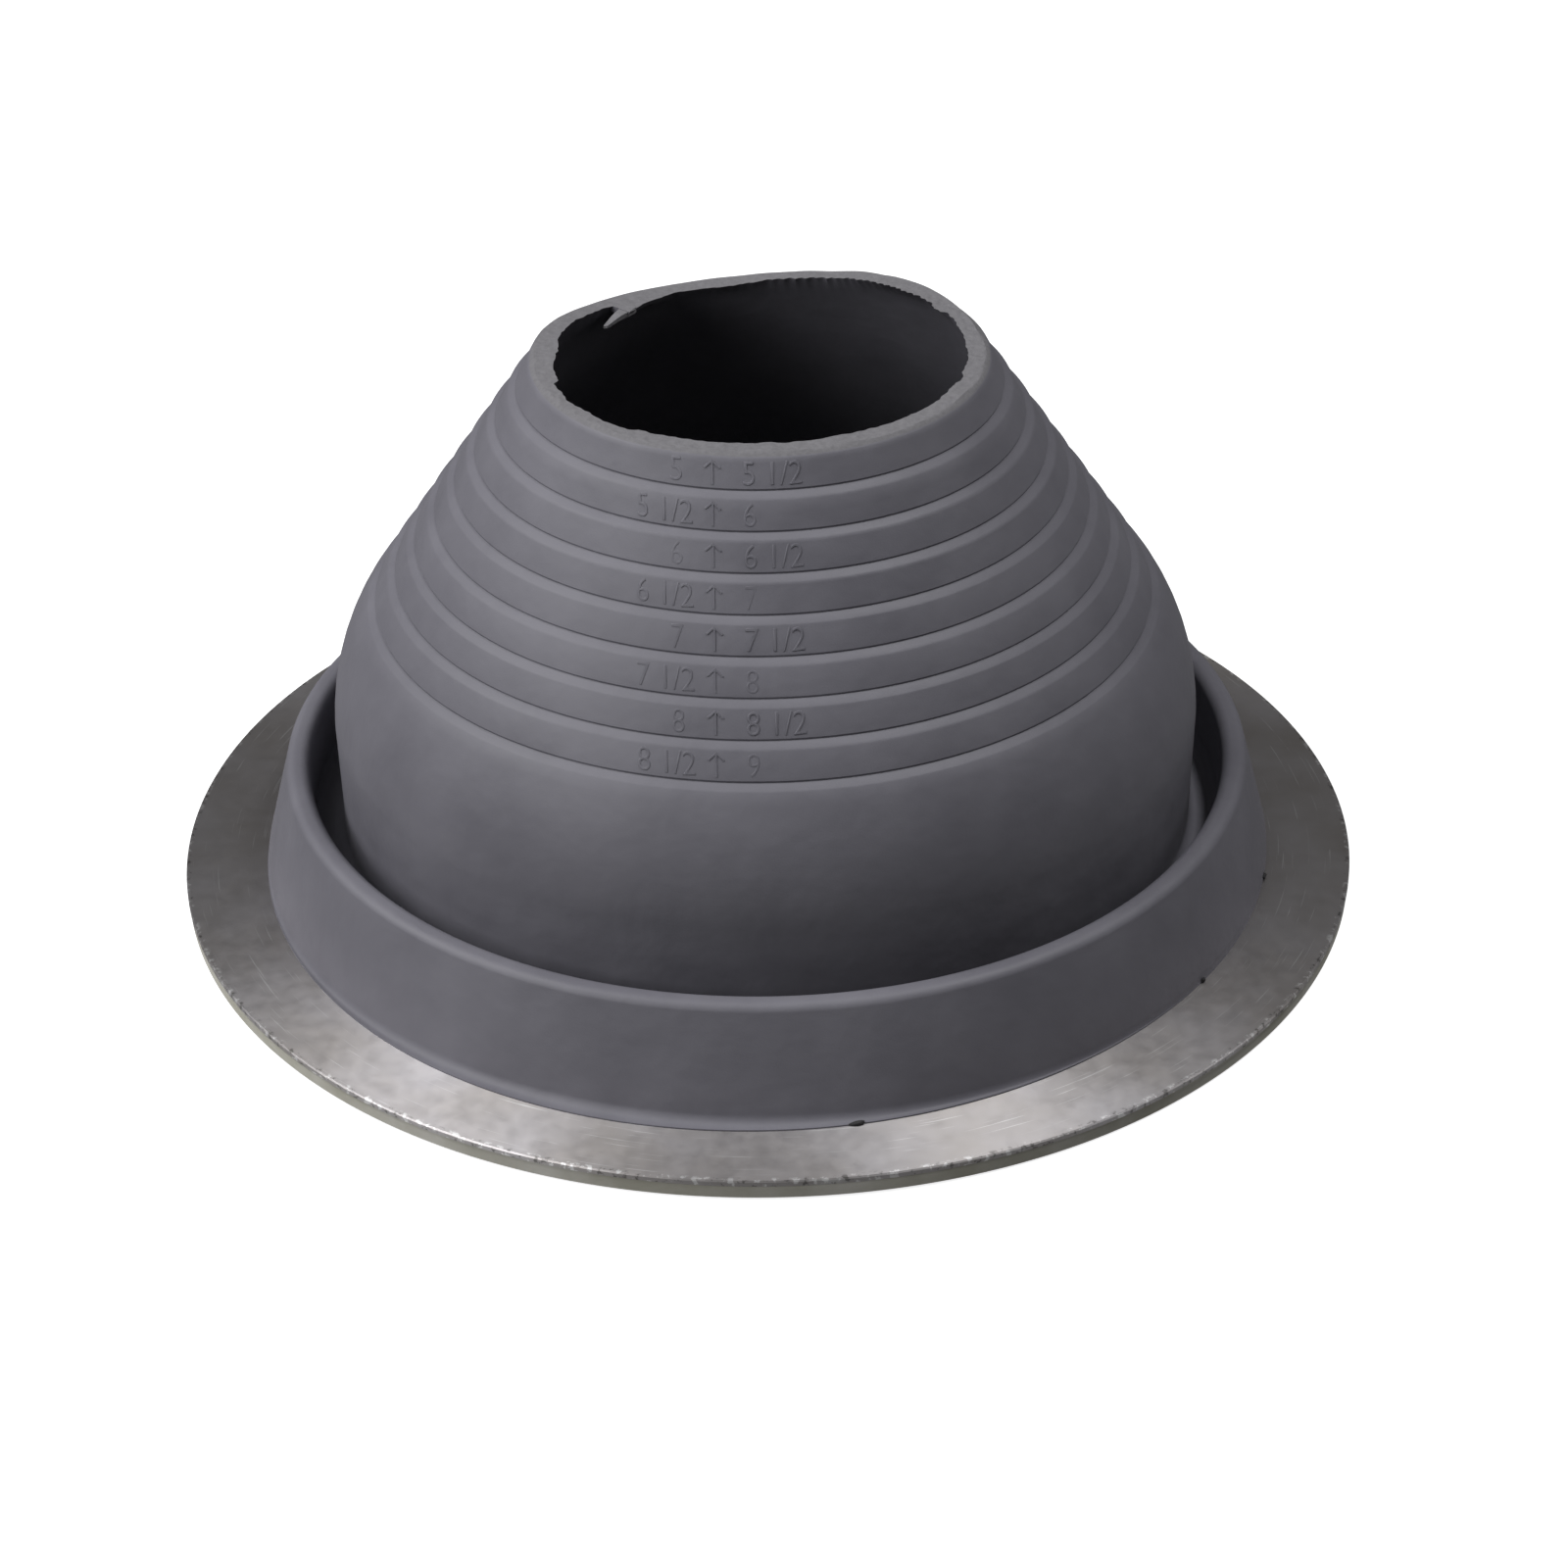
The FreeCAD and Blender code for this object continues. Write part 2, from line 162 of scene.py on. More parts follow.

# Sheared EPDM rubber: the pad's cut rim, painted pale and greenish, lighter than the rubber it is cut from.
# Its tone varies in patches about 20 mm wide.
PALE_PATCHES_PER_MM = 0.05
cut_edge, tree, surface, in_mm = new_material("pale_pad_edge")
# Patches of the rim's painted pale tone.
pale_patches = add(
    tree, "ShaderNodeTexNoise", {"Vector": in_mm, "Scale": PALE_PATCHES_PER_MM, "Detail": 4.0, "Roughness": 0.6}
).outputs["Fac"]
tone = add(tree, "ShaderNodeValToRGB", {"Fac": pale_patches}, [(0.35, srgb("a3a195")), (0.65, srgb("bbb9b2"))])
tree.links.new(tone.outputs["Color"], surface.inputs["Base Color"])
surface.inputs["Roughness"].default_value = 0.85


def only(piece):
    """Selects one piece alone and makes it the active one."""
    bpy.ops.object.select_all(action="DESELECT")
    piece.select_set(True)
    bpy.context.view_layer.objects.active = piece


def swell(angle, side, reach):
    """A smooth rise from 0 to 1 and back, centred on one side of the mouth."""
    off_side = abs((angle - side + 180) % 360 - 180)
    return (1 + math.cos(math.pi * min(off_side / reach, 1))) / 2


def wobble(angle, radius, size, seed):
    """Smooth noise round the mouth, from about -1 to 1; size is the length of one wave in mm."""
    turned = math.radians(angle)
    spot = Vector((math.cos(turned), math.sin(turned), 0)) * (radius / size)
    return noise.noise(spot + Vector((0, 0, seed * 7.3))) * 2


def tear_height(angle):
    """Height of the torn edge at an angle from +X: level, with one broad dip and a low peak beside it."""
    dip = TEAR_DIP * swell(angle, DIP_SIDE, DIP_REACH)
    peak = TEAR_PEAK * swell(angle, PEAK_SIDE, PEAK_REACH)
    return TEAR_LEVEL - dip + peak + TEAR_RIPPLE * wobble(angle, RIPPLE_RADIUS, RIPPLE_LENGTH, 1)


def inner_face(height):
    """Radius of the cone's plain inner face at a height."""
    return LAST_RING_RADIUS - INNER_SHIFT - (height - LAST_RING_HEIGHT) * math.tan(CONE_ANGLE)


def flap_reach(angle):
    """How far the hanging flap stands in: it grows steadily and ends in a rip."""
    if not FLAP_START < angle < FLAP_END:
        return 0
    return FLAP_REACH * (angle - FLAP_START) / (FLAP_END - FLAP_START)


def edge_reach(angle):
    """How far the torn inner edge stands in from the inner face: lobes, a step, one long bite, and nicks."""
    lobes = sum(reach * swell(angle, side, spread) for reach, side, spread in LOBES)
    step = STEP_REACH if STEP_START < angle < STEP_END else 0
    into = min(max((angle - BITE_START) / BITE_IN, 0), 1) * min(max((BITE_END - angle) / BITE_OUT, 0), 1)
    wander = NICK_WANDER * wobble(angle, MOUTH_RADIUS, WANDER_LENGTH, 2)
    scallop = abs(math.sin(math.pi * math.radians(angle) * MOUTH_RADIUS / NICK_PITCH + wander))
    deep = DEEP_NICK * scallop * min(swell(angle, DEEP_SIDE, DEEP_SPREAD) * DEEP_GAIN, 1)
    nicks = deep + LOW_NICK * scallop * swell(angle, LOW_SIDE, LOW_SPREAD)
    fine = FINE_ROUGH * wobble(angle, MOUTH_RADIUS, FINE_LENGTH, 3)
    rough = fine + BROAD_ROUGH * wobble(angle, MOUTH_RADIUS, BROAD_LENGTH, 4)
    return lobes + step - BITE_DEPTH * into - nicks + rough


def foot_radius(angle, radius):
    """Where a point of the skirt's lip ends up: it stands out in full at the front and fades at the sides."""
    share = LEAST_LIP + ADDED_LIP * swell(angle, LIP_SIDE, LIP_SPREAD)
    return LIP_START + (radius - LIP_START) * share


def outline_of(node, name):
    """The outline of a round node on its +X side, as a wire cut from a copy of its mesh."""
    piece = bpy.data.objects.new(name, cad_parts[node].data.copy())
    bpy.context.scene.collection.objects.link(piece)
    piece.data.materials.clear()
    only(piece)
    bpy.ops.mesh.customdata_custom_splitnormals_clear()
    bpy.ops.object.mode_set(mode="EDIT")
    bpy.ops.mesh.select_all(action="SELECT")
    bpy.ops.mesh.remove_doubles(threshold=0.01 * MM)
    bpy.ops.mesh.bisect(plane_co=(0, 0, 0), plane_no=(0, 1, 0), clear_inner=True, clear_outer=True)
    bpy.ops.mesh.select_all(action="SELECT")
    bpy.ops.mesh.bisect(plane_co=(0, 0, 0), plane_no=(1, 0, 0), clear_inner=True)
    bpy.ops.mesh.select_all(action="SELECT")
    bpy.ops.mesh.remove_doubles(threshold=0.01 * MM)
    bpy.ops.mesh.dissolve_limited(angle_limit=math.radians(3))
    bpy.ops.mesh.remove_doubles(threshold=0.3 * MM)
    bpy.ops.object.mode_set(mode="OBJECT")
    return piece


def cut_level(height):
    """Adds a point to the active outline wherever it crosses a height."""
    bpy.ops.object.mode_set(mode="EDIT")
    bpy.ops.mesh.select_all(action="SELECT")
    bpy.ops.mesh.bisect(plane_co=(0, 0, height), plane_no=(0, 0, 1))
    bpy.ops.object.mode_set(mode="OBJECT")


def spin_round(piece, steps):
    """Turns an outline into a closed round piece."""
    only(piece)
    turned = piece.modifiers.new("turned", "SCREW")
    turned.steps = turned.render_steps = steps
    turned.use_merge_vertices = True
    turned.merge_threshold = 0.001 * MM
    bpy.ops.object.modifier_apply(modifier="turned")
    bpy.ops.object.mode_set(mode="EDIT")
    bpy.ops.mesh.select_all(action="SELECT")
    bpy.ops.mesh.normals_make_consistent(inside=False)
    bpy.ops.object.mode_set(mode="OBJECT")


boot = outline_of("rubber_boot", "rubber_boot_moulding")
tip = max(vertex.co.z for vertex in boot.data.vertices)
for depth in INNER_ROWS:
    cut_level(tip - depth * MM)
outer_side = sorted(
    (vertex.co.z / MM, vertex.co.xy.length / MM)
    for vertex in boot.data.vertices
    if vertex.co.z > 100 * MM and vertex.co.xy.length / MM > inner_face(vertex.co.z / MM) + WALL_MARGIN
)
for edge in boot.data.edges:
    edge.select = all(boot.data.vertices[i].co.z > tip - 0.01 * MM for i in edge.vertices)
for vertex in boot.data.vertices:
    vertex.select = vertex.co.z > tip - 0.01 * MM
bpy.ops.object.mode_set(mode="EDIT")
bpy.ops.mesh.subdivide(number_cuts=TORN_ROWS)
bpy.ops.object.mode_set(mode="OBJECT")


def outer_face(height):
    """Radius of the stepped outside at a height near the mouth."""
    for (low, low_radius), (high, high_radius) in zip(outer_side, outer_side[1:]):
        if low <= height <= high:
            return low_radius + (high_radius - low_radius) * (height - low) / (high - low)
    return outer_side[-1][1] - (height - outer_side[-1][0]) * math.tan(CONE_ANGLE)


spin_round(boot, BOOT_STEPS)

# The skirt's lip is drawn in towards the sides. Of the mouth, three parts move: the torn face on top, the
# rows of the inner face under it, and the stretch of the outside that stands above the tear.
tip_height = tip / MM
worked_foot = tip_height - WORKED_DEPTH
for vertex in boot.data.vertices:
    height = vertex.co.z / MM
    radius = vertex.co.xy.length / MM
    angle = math.degrees(math.atan2(vertex.co.y, vertex.co.x)) % 360
    if LIP_FOOT < height < LIP_TOP and LIP_START < radius < LIP_END + 0.1:
        vertex.co.xy = vertex.co.xy.normalized() * foot_radius(angle, radius) * MM
    if height < worked_foot + 0.001:
        continue
    edge_height = tear_height(angle)
    if height > tip_height - 0.01:
        tip_wall = outer_face(tip_height) - inner_face(tip_height)
        from_inside = (radius - inner_face(tip_height)) / tip_wall
        inner = inner_face(edge_height) - edge_reach(angle) - flap_reach(angle)
        radius = inner + from_inside * (outer_face(edge_height) - inner)
        lump = TORN_ROUGHNESS * wobble(angle, radius, TORN_LUMP, 5)
        height = edge_height + lump * math.sin(math.pi * from_inside)
    elif radius < inner_face(height) + WALL_MARGIN:
        full = tip_height - worked_foot
        height = worked_foot + (height - worked_foot) * (edge_height - worked_foot) / full
        below = edge_height - height
        flap = flap_reach(angle) if below < FLAP_THICKNESS else 0
        radius = inner_face(height) - edge_reach(angle) * max(1 - below / LOBE_DEPTH, 0) - flap
    elif height > edge_height:
        height = edge_height
        radius = outer_face(edge_height)
    vertex.co.xy = vertex.co.xy.normalized() * radius * MM
    vertex.co.z = height * MM
bpy.ops.object.mode_set(mode="EDIT")
bpy.ops.mesh.select_all(action="SELECT")
bpy.ops.mesh.remove_doubles(threshold=0.001 * MM)
bpy.ops.mesh.normals_make_consistent(inside=False)
bpy.ops.object.mode_set(mode="OBJECT")
boot.data.materials.append(epdm)
boot.data.materials.append(torn)
boot.data.materials.append(cut_edge)
for face in boot.data.polygons:
    if face.normal.z > TORN_SLOPE and face.center.z > LEDGE_TOP * MM:
        face.material_index = 1
    elif face.center.z < PAD_TOP * MM and face.center.xy.length > PAD_RIM * MM:
        face.material_index = 2
bpy.ops.object.shade_smooth_by_angle(angle=SMOOTH_ANGLE)
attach(boot, "root")
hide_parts("rubber_boot")

# Torn tag: the loose corner of the flap, a tongue of the same rubber that hangs forward into the mouth. It
# narrows fast from the flap's end, thins towards its ragged tip and sinks a little.
TAG_ROOT = Vector((-33.3, 40.3, 139.1))
TAG_TIP = Vector((-39.9, 31.5, 138.6))
TAG_WIDTH, TAG_THICKNESS = 3.8, 1.7
TAG_FREE = 0.25
NARROWEST, NARROWING, NARROWING_POWER, THINNING = 0.42, 0.58, 1.5, 0.45
TAG_SINK, TAG_ROLL, TAG_RAGGED = 0.9, 0.5, 0.25
bpy.ops.object.select_all(action="DESELECT")
bpy.ops.mesh.primitive_cube_add(size=1, location=(0, 0, 0))
tag = bpy.context.object
tag.name = "torn_tag"
bpy.ops.object.mode_set(mode="EDIT")
bpy.ops.mesh.subdivide(number_cuts=5)
bpy.ops.object.mode_set(mode="OBJECT")
along = TAG_TIP - TAG_ROOT
aside = along.cross(Vector((0, 0, 1))).normalized()
for vertex in tag.data.vertices:
    travel, across, up = vertex.co + Vector((0.5, 0, 0))
    free = max(travel - TAG_FREE, 0) / (1 - TAG_FREE)
    width = TAG_WIDTH * (NARROWEST + NARROWING * (1 - free) ** NARROWING_POWER)
    thickness = TAG_THICKNESS * (1 - THINNING * free)
    ragged = TAG_RAGGED * noise.noise(Vector((travel * 6, across * 2, 1.5)))
    place = TAG_ROOT + along * travel + aside * (across * width + ragged)
    place.z += up * thickness - TAG_SINK * free**2 - TAG_ROLL * free * across
    vertex.co = place * MM
rounded = tag.modifiers.new("rounded", "SUBSURF")
rounded.levels = rounded.render_levels = 2
bpy.ops.object.modifier_apply(modifier="rounded")
bpy.ops.object.mode_set(mode="EDIT")
bpy.ops.mesh.select_all(action="SELECT")
bpy.ops.mesh.normals_make_consistent(inside=False)
bpy.ops.object.mode_set(mode="OBJECT")
tag.data.materials.append(torn)
bpy.ops.object.shade_smooth()
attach(tag, "root")

# Size marks: fine raised numbers and arrows that the mould left on each band, with the pipe sizes in inches
# that the rings below and above it fit. Some are worn nearly flat. They stand up to 0.2 mm out of the same
# rubber, and are set flat first, then laid on the cone.
RING_PITCH = 9.89
MARK_HEIGHT = 5.6
MARK_DEPTH, MARK_SLOPE = 0.2, 0.15
LETTER_SIZE, LETTER_THINNED = 8, 0.19
NUMBER_WIDTH = 14.0
DIGIT_WIDTH = 2.9
ARROW_PLACE, ARROW_STROKE = -11.8, 0.7
BARB_LENGTH, BARB_LEAN, BARB_DROP = 2.5, 0.85, 0.1
LEFT_END, LEFT_DIGIT, RIGHT_START = -5.0, -10.4, 7.4
BAND_MIDDLE = RING_PITCH / 2 + 0.2
BAND_LEAN = 0.9 / 7.2
BANDS, LOWEST_SIZE = 8, 8
ARROW_RELIEF, NUMBER_RELIEF, DIGIT_RELIEF = 0.1, 0.09, 0.04
ARROW_UNWORN, NUMBER_UNWORN, DIGIT_UNWORN = 0.08, 0.06, 0.05
marks = []


def lay_on_band(mark, band):
    """Bends a flat mark on to the cone: x runs round it, y up its side and z out of it."""
    for vertex in mark.data.vertices:
        across, up, out = vertex.co
        travel = band * RING_PITCH + BAND_MIDDLE + up
        out += BAND_LEAN * up
        radius = LAST_RING_RADIUS - travel * math.sin(CONE_ANGLE) + out * math.cos(CONE_ANGLE)
        height = LAST_RING_HEIGHT + travel * math.cos(CONE_ANGLE) + out * math.sin(CONE_ANGLE)
        around = across / radius
        vertex.co = Vector((radius * math.sin(around), -radius * math.cos(around), height)) * MM
    marks.append(mark)


def number_mark(text, left, width, band, relief):
    """A raised number with its left end and width in mm, on a band counted from the lowest."""
    bpy.ops.object.select_all(action="DESELECT")
    bpy.ops.object.text_add(location=(0, 0, 0))
    letters = bpy.context.object.data
    letters.body = text
    letters.size = LETTER_SIZE
    letters.resolution_u = 4
    letters.extrude = MARK_DEPTH
    letters.bevel_depth = MARK_SLOPE
    letters.offset = -LETTER_THINNED
    bpy.ops.object.convert(target="MESH")
    mark = bpy.context.object
    across = [vertex.co.x for vertex in mark.data.vertices]
    up = [vertex.co.y for vertex in mark.data.vertices]
    for vertex in mark.data.vertices:
        vertex.co.x = left + (vertex.co.x - min(across)) / (max(across) - min(across)) * width
        vertex.co.y = ((vertex.co.y - min(up)) / (max(up) - min(up)) - 0.5) * MARK_HEIGHT
        vertex.co.z += relief - MARK_DEPTH - MARK_SLOPE
    lay_on_band(mark, band)


def arrow_mark(band, relief):
    """A raised arrow that points up the cone: a stem and two barbs, each a thin bar."""
    for lean, length in ((0, MARK_HEIGHT), (-BARB_LEAN, BARB_LENGTH), (BARB_LEAN, BARB_LENGTH)):
        bpy.ops.object.select_all(action="DESELECT")
        bpy.ops.mesh.primitive_cube_add(size=1, location=(0, 0, 0))
        mark = bpy.context.object
        for vertex in mark.data.vertices:
            if vertex.co.z > 0:
                vertex.co.x *= 0.5
        bar = Matrix.Rotation(lean, 4, "Z")
        if lean:
            barb_top = Matrix.Translation((0, MARK_HEIGHT / 2 - BARB_DROP, 0))
            bar = barb_top @ bar @ Matrix.Translation((0, -length / 2, 0))
        mark.data.transform(bar @ Matrix.Diagonal((ARROW_STROKE, length, 1, 1)))
        for vertex in mark.data.vertices:
            vertex.co.x += ARROW_PLACE
            vertex.co.z = relief if vertex.co.z > 0 else relief - 2 * MARK_SLOPE
        lay_on_band(mark, band)


for band in range(BANDS):
    whole = LOWEST_SIZE - band // 2
    unworn = 0.5 + 0.5 * noise.noise(Vector((band * 1.7, 0.4, 0)))
    number_relief = NUMBER_RELIEF + NUMBER_UNWORN * unworn
    digit_relief = DIGIT_RELIEF + DIGIT_UNWORN * unworn
    arrow_mark(band, ARROW_RELIEF + ARROW_UNWORN * unworn)
    if band % 2:
        number_mark(f"{whole}", ARROW_PLACE + LEFT_DIGIT, DIGIT_WIDTH, band, digit_relief)
        number_mark(f"{whole} 1/2", ARROW_PLACE + RIGHT_START, NUMBER_WIDTH, band, number_relief)
    else:
        left = ARROW_PLACE + LEFT_END - NUMBER_WIDTH
        number_mark(f"{whole} 1/2", left, NUMBER_WIDTH, band, number_relief)
        number_mark(f"{whole + 1}", ARROW_PLACE + RIGHT_START, DIGIT_WIDTH, band, digit_relief)
only(marks[0])
for mark in marks:
    mark.select_set(True)
bpy.ops.object.join()
size_marks = bpy.context.object
size_marks.name = "size_marks"
size_marks.data.materials.append(epdm)
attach(size_marks, "root")

# Metal ring: a flat ring cut from soft aluminium sheet and bonded on the pad, with its inner edge held under
# the skirt's foot. It is spun from the solid's own outline.
RING_STEPS = 720

# Soft aluminium, rolled: a dull metal whose grain runs round the ring and spreads its light. Brown tarnish
# lies in patches of 33 mm and scuffs of 4 mm. Scratches run round it too, about 25 mm long and drawn 0.7 mm
# wide, coarser than real ones, so that they show. The burr has dark flecks and painted glints, both of 2 mm.
TARNISH_PER_MM, SCUFFS_PER_MM, FLECKS_PER_MM = 0.03, 0.25, 0.45
SCRATCHES_PER_RADIAN, SCRATCHES_PER_MM = 6.0, 1.5
BURR_START, BURR_END = 154.0, 154.8
aluminium, tree, surface, in_mm = new_material("soft_aluminium")
tarnish = add(
    tree, "ShaderNodeTexNoise", {"Vector": in_mm, "Scale": TARNISH_PER_MM, "Detail": 4.0, "Roughness": 0.55}
).outputs["Fac"]
clean = add(
    tree, "ShaderNodeValToRGB", {"Fac": tarnish}, [(0.3, srgb("aaa5a2")), (0.65, srgb("bfbcbe"))]
).outputs["Color"]
scuffs = add(
    tree, "ShaderNodeTexNoise", {"Vector": in_mm, "Scale": SCUFFS_PER_MM, "Detail": 4.0, "Roughness": 0.6}
).outputs["Fac"]
dull = add(tree, "ShaderNodeValToRGB", {"Fac": scuffs}, [(0.3, grey(0.43)), (0.7, grey(0.51))])
metal_bump = add(tree, "ShaderNodeBump", {"Height": scuffs, "Strength": 0.12, "Distance": 0.05 * MM})
spot = add(tree, "ShaderNodeSeparateXYZ", {0: in_mm}).outputs
front = add(tree, "ShaderNodeMath", {0: spot["Y"], 1: -1.0}, operation="MULTIPLY").outputs[0]
turn = add(tree, "ShaderNodeMath", {0: spot["X"], 1: front}, operation="ARCTAN2").outputs[0]
from_axis = add(tree, "ShaderNodeVectorMath", {0: in_mm}, operation="LENGTH").outputs["Value"]
lengthwise = add(tree, "ShaderNodeMath", {0: turn, 1: SCRATCHES_PER_RADIAN}, operation="MULTIPLY").outputs[0]
crosswise = add(tree, "ShaderNodeMath", {0: from_axis, 1: SCRATCHES_PER_MM}, operation="MULTIPLY").outputs[0]
round_way = add(tree, "ShaderNodeCombineXYZ", {0: lengthwise, 1: crosswise}).outputs[0]
lines = add(tree, "ShaderNodeTexNoise", {"Vector": round_way, "Scale": 1.0, "Detail": 3.0}).outputs["Fac"]
scratches = add(
    tree, "ShaderNodeValToRGB", {"Fac": lines}, [(0.64, grey(0.0)), (0.69, grey(0.6))]
).outputs["Color"]
tone = add(
    tree, "ShaderNodeMix", {0: scratches, 6: clean, 7: srgb("dedede")}, data_type="RGBA"
).outputs[2]
burr = add(
    tree, "ShaderNodeMapRange", {"Value": from_axis, "From Min": BURR_START, "From Max": BURR_END}
).outputs["Result"]
flecks = add(
    tree, "ShaderNodeTexNoise", {"Vector": in_mm, "Scale": FLECKS_PER_MM, "Detail": 3.0, "Roughness": 0.6}
).outputs["Fac"]
# Bright flecks along the burr: painted glints.
painted_glints = add(tree, "ShaderNodeValToRGB", {"Fac": flecks}, [(0.56, grey(0.0)), (0.62, grey(0.7))])
dark = add(tree, "ShaderNodeValToRGB", {"Fac": flecks}, [(0.36, grey(0.6)), (0.42, grey(0.0))])
# Paints the glints and the dark flecks on to the burr.
for marked, colour in ((painted_glints, "f2f2f2"), (dark, "4a4844")):
    share = add(
        tree, "ShaderNodeMath", {0: burr, 1: marked.outputs["Color"]}, operation="MULTIPLY"
    ).outputs[0]
    tone = add(tree, "ShaderNodeMix", {0: share, 6: tone, 7: srgb(colour)}, data_type="RGBA").outputs[2]
grain_way = add(tree, "ShaderNodeTangent", direction_type="RADIAL", axis="Z")
tree.links.new(tone, surface.inputs["Base Color"])
tree.links.new(dull.outputs["Color"], surface.inputs["Roughness"])
tree.links.new(metal_bump.outputs[0], surface.inputs["Normal"])
tree.links.new(grain_way.outputs[0], surface.inputs["Tangent"])
surface.inputs["Metallic"].default_value = 1.0
surface.inputs["Anisotropic"].default_value = 0.75
surface.inputs["Anisotropic Rotation"].default_value = 0.25

ring = outline_of("base_ring", "aluminium_ring")
spin_round(ring, RING_STEPS)
ring.data.materials.append(aluminium)
bpy.ops.object.shade_smooth_by_angle(angle=SMOOTH_ANGLE)
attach(ring, "root")
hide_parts("base_ring")

# Mould flash: three dark shreds of rubber that stay at the skirt's foot. Each is a small ball, pressed flat
# and drawn out along the foot.
SHREDS = ((278.6, 3.2), (324.4, 1.6), (346.7, 2.6))
SHRED_RADIUS, SHRED_HEIGHT = 0.55, 5.5
SHRED_WIDTH, SHRED_RISE = 1.2, 1.1
UNEVENNESS, LUMPS_PER_MM = 0.5, 2

# Thin EPDM rubber, dull and nearly black with dirt.
dark_flash, _, surface, _ = new_material("dark_flash_rubber")
surface.inputs["Base Color"].default_value = srgb("1e1d1f")
surface.inputs["Roughness"].default_value = 0.8

shreds = []
for side, length in SHREDS:
    turned = math.radians(side)
    radius = foot_radius(side, LIP_END)
    bpy.ops.object.select_all(action="DESELECT")
    bpy.ops.mesh.primitive_ico_sphere_add(
        subdivisions=3,
        radius=SHRED_RADIUS * MM,
        location=(radius * math.cos(turned) * MM, radius * math.sin(turned) * MM, SHRED_HEIGHT * MM),
        rotation=(0, 0, turned),
    )
    shred = bpy.context.object
    for vertex in shred.data.vertices:
        vertex.co *= 1 + UNEVENNESS * noise.noise(vertex.co / MM * LUMPS_PER_MM + Vector((side, 0, 0)))
    shred.scale = (SHRED_WIDTH, length, SHRED_RISE)
    shreds.append(shred)
only(shreds[0])
for shred in shreds:
    shred.select_set(True)
bpy.ops.object.join()
mould_flash = bpy.context.object
mould_flash.name = "mould_flash"
bpy.ops.object.transform_apply(location=True, rotation=True, scale=True)
mould_flash.data.materials.append(dark_flash)
bpy.ops.object.shade_smooth()
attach(mould_flash, "root")

# Studio floor: white paper just under the boot. It glows to the camera, so strongly that the shadow round the
# boot clips to white, and only the shade inside the boot and far off shows, as pale grey. Other rays see it
# grey, so that it throws little light back on the boot.
FLOOR_SIZE, FLOOR_DROP = 6.0, 0.0005
FLOOR_GLOW = 0.8
bpy.ops.object.select_all(action="DESELECT")
bpy.ops.mesh.primitive_plane_add(size=FLOOR_SIZE, location=(0, 0, -FLOOR_DROP))
floor = bpy.context.object
floor.name = "studio_floor"
white, tree, surface, _ = new_material("white_studio_paper")
surface.inputs["Base Color"].default_value = srgb("6a6a6a")
surface.inputs["Roughness"].default_value = 0.9
seen = add(tree, "ShaderNodeLightPath").outputs["Is Camera Ray"]
glow = add(tree, "ShaderNodeEmission", {"Color": srgb("ffffff"), "Strength": FLOOR_GLOW})
paper = add(tree, "ShaderNodeBsdfDiffuse", {"Color": srgb("b4b4b4")})
lit_paper = add(tree, "ShaderNodeAddShader", {0: glow.outputs[0], 1: paper.outputs[0]})
shown = add(tree, "ShaderNodeMixShader", {0: seen, 1: surface.outputs[0], 2: lit_paper.outputs[0]})
output = next(node for node in tree.nodes if node.bl_idname == "ShaderNodeOutputMaterial")
tree.links.new(shown.outputs[0], output.inputs["Surface"])
floor.data.materials.append(white)

# Studio lights: a large window and a fill at the left, a weak fill at the right, and a small lamp and a
# softbox overhead. All are aimed at the boot's middle. Places and sizes are in metres, and strengths in
# watts.
BOOT_MIDDLE = Vector((0, 0, 60 * MM))


def soft_light(name, place, size, watts):
    """A square area light at a place, aimed at the boot's middle."""
    bpy.ops.object.light_add(type="AREA", location=place)
    light = bpy.context.object
    light.name = name
    light.data.size = size
    light.data.energy = watts
    light.rotation_mode = "QUATERNION"
    light.rotation_quaternion = (BOOT_MIDDLE - Vector(place)).to_track_quat("-Z", "Y")


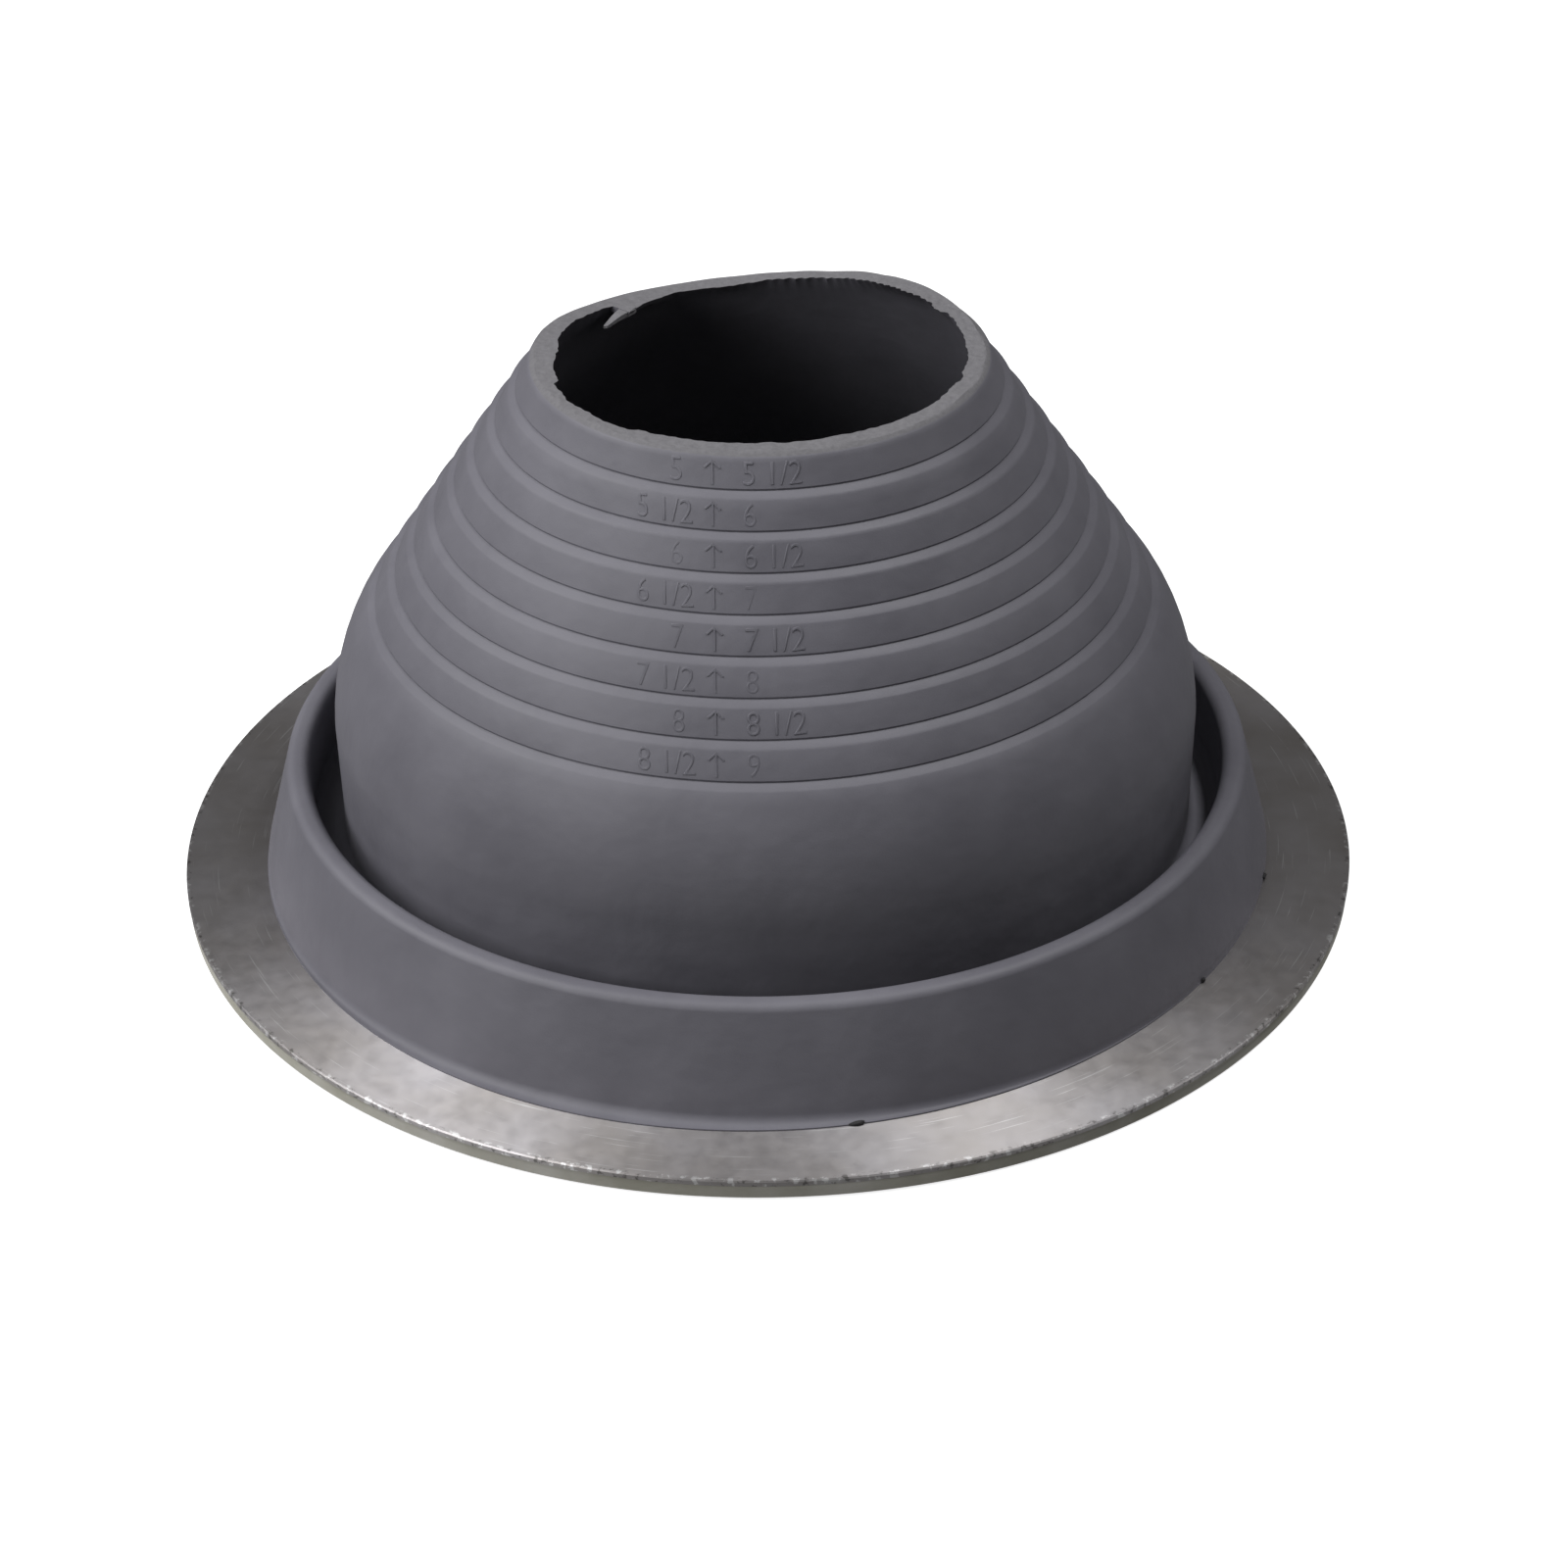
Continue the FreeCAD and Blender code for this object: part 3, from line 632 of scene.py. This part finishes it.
soft_light("left_window", (-1.1, 0.0, 1.1), 0.8, 18.3)
soft_light("left_front_fill", (-1.0, -0.9, 0.8), 0.7, 8.2)
soft_light("right_fill", (1.2, 0.0, 0.9), 0.7, 2.9)
soft_light("overhead_lamp", (0.5, 0.0, 1.4), 0.22, 10.6)
soft_light("overhead_softbox", (-0.6, -0.1, 1.4), 0.5, 4.2)

# Studio air: white where the camera sees it. Metal mirrors a small share of it, and it hardly lights the
# boot.
MIRRORED_SHARE = 0.1
AIR_LIGHT = 0.05
world = bpy.data.worlds.new("studio_air")
bpy.context.scene.world = world
world.use_nodes = True
air = world.node_tree
backdrop = air.nodes["Background"]
rays = add(air, "ShaderNodeLightPath").outputs
mirrored = add(
    air, "ShaderNodeMath", {0: rays["Is Glossy Ray"], 1: rays["Is Transmission Ray"]}, operation="MAXIMUM"
).outputs[0]
faint = add(air, "ShaderNodeMath", {0: mirrored, 1: MIRRORED_SHARE}, operation="MULTIPLY").outputs[0]
seen = add(air, "ShaderNodeMath", {0: rays["Is Camera Ray"], 1: faint}, operation="MAXIMUM").outputs[0]
strength = add(air, "ShaderNodeMapRange", {"Value": seen, "To Min": AIR_LIGHT, "To Max": 1.0})
backdrop.inputs["Color"].default_value = (1, 1, 1, 1)
air.links.new(strength.outputs[0], backdrop.inputs["Strength"])
bpy.context.scene.view_settings.view_transform = "Standard"

# Camera: in front of the boot and above it, aimed at its middle and rolled a little. Its lens is a long
# one.
DISTANCE = 940.37 * MM
ELEVATION = math.radians(29.506)
ROLL = math.radians(-0.927)
back = Vector((0, -math.cos(ELEVATION), math.sin(ELEVATION)))
bpy.ops.object.camera_add()
camera = bpy.context.object
camera.name = "camera"
camera.matrix_world = (
    Matrix.Translation(BOOT_MIDDLE + back * DISTANCE)
    @ (-back).to_track_quat("-Z", "Y").to_matrix().to_4x4()
    @ Matrix.Rotation(ROLL, 4, "Z")
)
camera.data.lens = 82.29
camera.data.shift_x = 0.01247
camera.data.shift_y = -0.0884
bpy.context.scene.camera = camera
